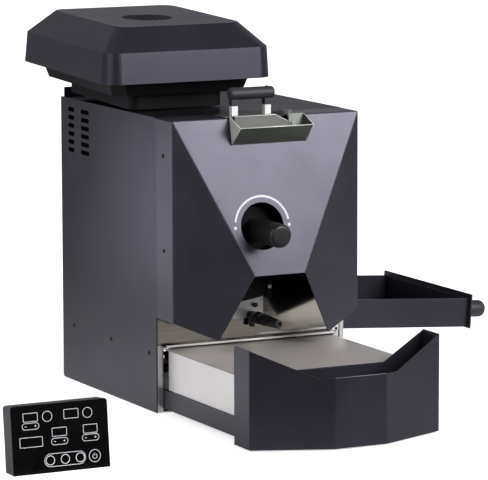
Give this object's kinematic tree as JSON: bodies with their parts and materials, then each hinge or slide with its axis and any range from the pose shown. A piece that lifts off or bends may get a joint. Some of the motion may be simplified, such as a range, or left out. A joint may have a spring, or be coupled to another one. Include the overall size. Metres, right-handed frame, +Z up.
{
  "type": "electric drum coffee roaster",
  "caption": "Table-top electric drum roaster with faceted front mask, feed hopper, fan hood, cooling drawer and chaff tray pulled out, and a loose key pad.",
  "frame": {"origin": "on the floor under the middle of the seam between the cabinet and its front mask", "axes": "+X to the right seen from the front, along which the chaff tray is pulled out; +Y to the back; +Z up"},
  "size_m": [0.8193, 0.6123, 0.5006],
  "materials": {
    "rubber": "matt black",
    "brushed_steel": "brushed along the sheet",
    "charcoal_paint": "satin powder coat with a fine grain",
    "mask_paint": "satin powder coat with a fine grain",
    "polished_steel": "polished to a mirror",
    "dark_grip": "satin dark grey",
    "black_paint": "satin black",
    "plain_steel": "plain mill finish",
    "black_plastic": "satin black",
    "pad_glass": "glossy black glass with printed key outlines",
    "circuit_board": "green lacquer"
  },
  "bodies": {
    "cabinet": {"foot_front_left": "rubber", "foot_front_right": "rubber", "foot_rear_left": "rubber", "foot_rear_right": "rubber", "base_plate": "brushed_steel", "side_panel_left": "charcoal_paint", "side_panel_right": "charcoal_paint", "top_panel": "charcoal_paint", "back_panel": "charcoal_paint", "front_plate": "polished_steel", "front_mask": "mask_paint", "hopper": "brushed_steel", "hopper_divider": "brushed_steel", "inlet_chute": "plain_steel", "damper_boss": "black_paint", "door_hinge": "plain_steel", "door_catch": "black_paint", "rear_bulkhead": "plain_steel", "drum_housing": "plain_steel", "exhaust_duct": "plain_steel", "heater_element": "plain_steel", "temperature_probe": "plain_steel", "drum_motor": "black_paint", "drive_belt": "rubber", "hood_neck": "black_paint", "drawer_runners": "plain_steel", "tray_mouth": "brushed_steel", "tray_guides": "plain_steel", "cooling_fan_frame": "black_plastic", "power_inlet": "black_plastic", "control_board": "circuit_board"},
    "feed_flap": {"feed_flap": "polished_steel", "flap_leg_left": "polished_steel", "flap_leg_right": "polished_steel", "flap_grip": "dark_grip"},
    "damper": {"damper_knob": "dark_grip", "damper_disc": "plain_steel"},
    "discharge_door": {"discharge_door": "plain_steel", "door_lever": "black_paint", "door_grip": "dark_grip"},
    "drum": {"drum": "plain_steel", "drum_shaft": "plain_steel"},
    "motor_rotor": {"motor_pulley": "plain_steel"},
    "hood": {"hood_shell": "charcoal_paint", "hood_base": "black_paint", "hood_grille": "black_paint", "fan_motor": "black_paint"},
    "hood_fan": {"fan_impeller": "black_plastic"},
    "drawer": {"drawer_front": "charcoal_paint", "drawer_back_plate": "charcoal_paint", "drawer_box": "brushed_steel", "drawer_deck": "brushed_steel", "drawer_base": "charcoal_paint"},
    "chaff_tray": {"chaff_tray": "charcoal_paint", "tray_end_plate": "charcoal_paint", "tray_knob": "dark_grip"},
    "cooling_rotor": {"cooling_fan_rotor": "black_plastic"},
    "rocker": {"rocker_key": "black_paint"},
    "key_pad": {"pad_case": "black_plastic", "pad_glass": "pad_glass"}
  },
  "joints": [
    {"name": "feed_flap_tip", "type": "hinge", "parent": "cabinet", "child": "feed_flap", "pos_m": [-0.008, -0.051, 0.384], "axis": [1, 0, 0], "range_deg": [0, 50]},
    {"name": "damper_turn", "type": "hinge", "parent": "cabinet", "child": "damper", "pos_m": [-0.0192, -0.06, 0.24], "axis": [0, 1, 0], "range_deg": [-90, 90]},
    {"name": "discharge_door_swing", "type": "hinge", "parent": "cabinet", "child": "discharge_door", "pos_m": [-0.017, -0.005, 0.1954], "axis": [-1, 0, 0], "range_deg": [0, 25]},
    {"name": "drum_spin", "type": "hinge", "parent": "cabinet", "child": "drum", "pos_m": [0, 0.11, 0.24], "axis": [0, 1, 0], "continuous": true},
    {"name": "motor_spin", "type": "hinge", "parent": "cabinet", "child": "motor_rotor", "pos_m": [0.06, 0.25, 0.19], "axis": [0, 1, 0], "continuous": true},
    {"name": "hood_lift", "type": "slide", "parent": "cabinet", "child": "hood", "axis": [0, 0, 1], "range_m": [0, 0.06]},
    {"name": "hood_fan_spin", "type": "hinge", "parent": "hood", "child": "hood_fan", "pos_m": [-0.0724, 0.15069, 0.47989], "axis": [0, -0.0359, 0.9994], "continuous": true},
    {"name": "drawer_slide", "type": "slide", "parent": "cabinet", "child": "drawer", "axis": [0, 1, 0], "range_m": [0, 0.2123]},
    {"name": "chaff_tray_slide", "type": "slide", "parent": "cabinet", "child": "chaff_tray", "axis": [-0.9978, 0, 0.0663], "range_m": [0, 0.1975]},
    {"name": "cooling_fan_spin", "type": "hinge", "parent": "cabinet", "child": "cooling_rotor", "pos_m": [0, 0.281, 0.047], "axis": [0, 1, 0], "continuous": true},
    {"name": "rocker_tip", "type": "hinge", "parent": "cabinet", "child": "rocker", "pos_m": [0.092, 0.2915, 0.064], "axis": [0, 0, 1], "range_deg": [-8, 0]},
    {"name": "key_pad_lift", "type": "slide", "parent": "cabinet", "child": "key_pad", "axis": [0, 0, 1], "range_m": [0, 0.1]}
  ],
  "couplings": [
    {"joint": "motor_spin", "follows": "drum_spin", "ratio": 3}
  ]
}
